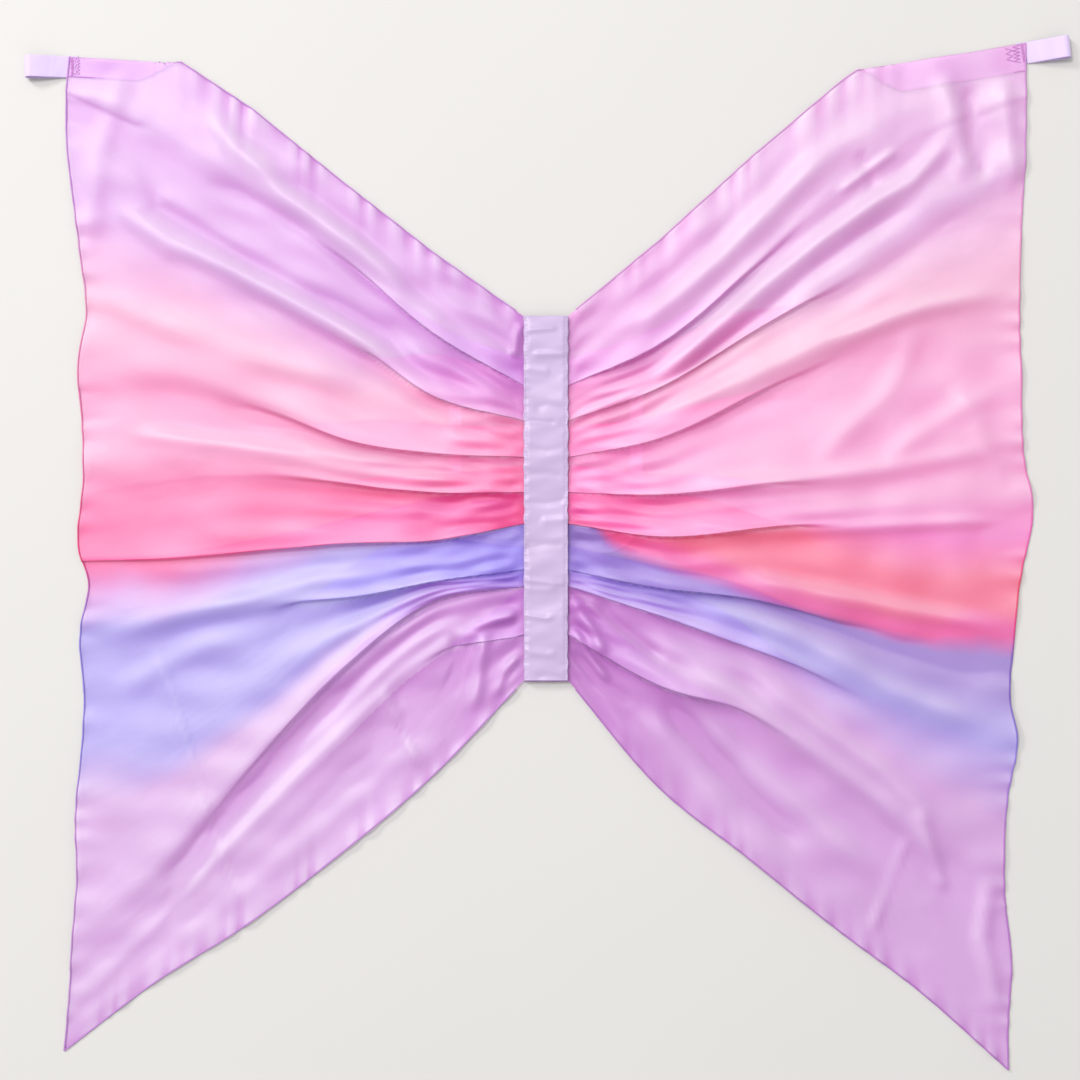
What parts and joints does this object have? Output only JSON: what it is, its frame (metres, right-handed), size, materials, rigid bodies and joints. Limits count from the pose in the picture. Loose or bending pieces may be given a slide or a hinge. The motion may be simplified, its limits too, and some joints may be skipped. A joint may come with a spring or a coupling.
{
  "type": "fairy wings",
  "caption": "Dress-up butterfly wings of pleated silk on a satin centre band, with ribbon finger loops at the upper corners and elastic shoulder straps behind the band.",
  "frame": {"origin": "middle of the back ribbon's outer face, which lies on the surface the wings are spread on", "axes": "+X towards the right wing as seen from the front, +Y up the centre band towards the shoulders, +Z out of the front face"},
  "size_m": [0.9021, 0.8941, 0.0168],
  "materials": {
    "silk": "dip-dyed silk, lavender to pink to blue, soft sheen",
    "satin": "pale lavender satin ribbon",
    "hem_thread": "purple overlock and tack thread",
    "seam_thread": "lavender sewing thread",
    "elastic": "white knitted elastic"
  },
  "bodies": {
    "band": {"ribbon_back": "satin", "ribbon_front": "satin", "silk_pleats_middle": "silk", "edge_stitching_left": "seam_thread", "edge_stitching_right": "seam_thread", "strap_end_upper_left": "elastic", "strap_end_upper_right": "elastic", "strap_end_lower_left": "elastic", "strap_end_lower_right": "elastic"},
    "wing_left": {"silk_wing_left": "silk", "hem_upper_left": "hem_thread", "hem_outer_left": "hem_thread", "hem_lower_left": "hem_thread", "finger_loop_end_left": "satin", "corner_tack_left": "hem_thread"},
    "wing_right": {"silk_wing_right": "silk", "hem_upper_right": "hem_thread", "hem_outer_right": "hem_thread", "hem_lower_right": "hem_thread", "finger_loop_end_right": "satin", "corner_tack_right": "hem_thread"},
    "loop_left": {"finger_loop_left": "satin"},
    "loop_right": {"finger_loop_right": "satin"},
    "strap_left": {"shoulder_strap_left": "elastic"},
    "strap_right": {"shoulder_strap_right": "elastic"}
  },
  "joints": [
    {"name": "wing_left_fold", "type": "hinge", "parent": "band", "child": "wing_left", "pos_m": [-0.01915, 0, 0.0051], "axis": [0, 1, 0], "range_deg": [0, 85]},
    {"name": "wing_right_fold", "type": "hinge", "parent": "band", "child": "wing_right", "pos_m": [0.01915, 0, 0.0051], "axis": [0, -1, 0], "range_deg": [0, 85]},
    {"name": "loop_left_swing", "type": "hinge", "parent": "wing_left", "child": "loop_left", "pos_m": [-0.4175, 0.37339, 0.0005], "axis": [-0.0174, 0.9998, 0], "range_deg": [-100, 75]},
    {"name": "loop_right_swing", "type": "hinge", "parent": "wing_right", "child": "loop_right", "pos_m": [0.42045, 0.38629, 0.0005], "axis": [0.1219, -0.9925, 0], "range_deg": [-100, 75]},
    {"name": "strap_left_swing", "type": "hinge", "parent": "band", "child": "strap_left", "pos_m": [-0.01915, 0.035, 0], "axis": [0, -1, 0], "range_deg": [0, 90]},
    {"name": "strap_right_swing", "type": "hinge", "parent": "band", "child": "strap_right", "pos_m": [0.01915, 0.035, 0], "axis": [0, 1, 0], "range_deg": [0, 90]}
  ]
}
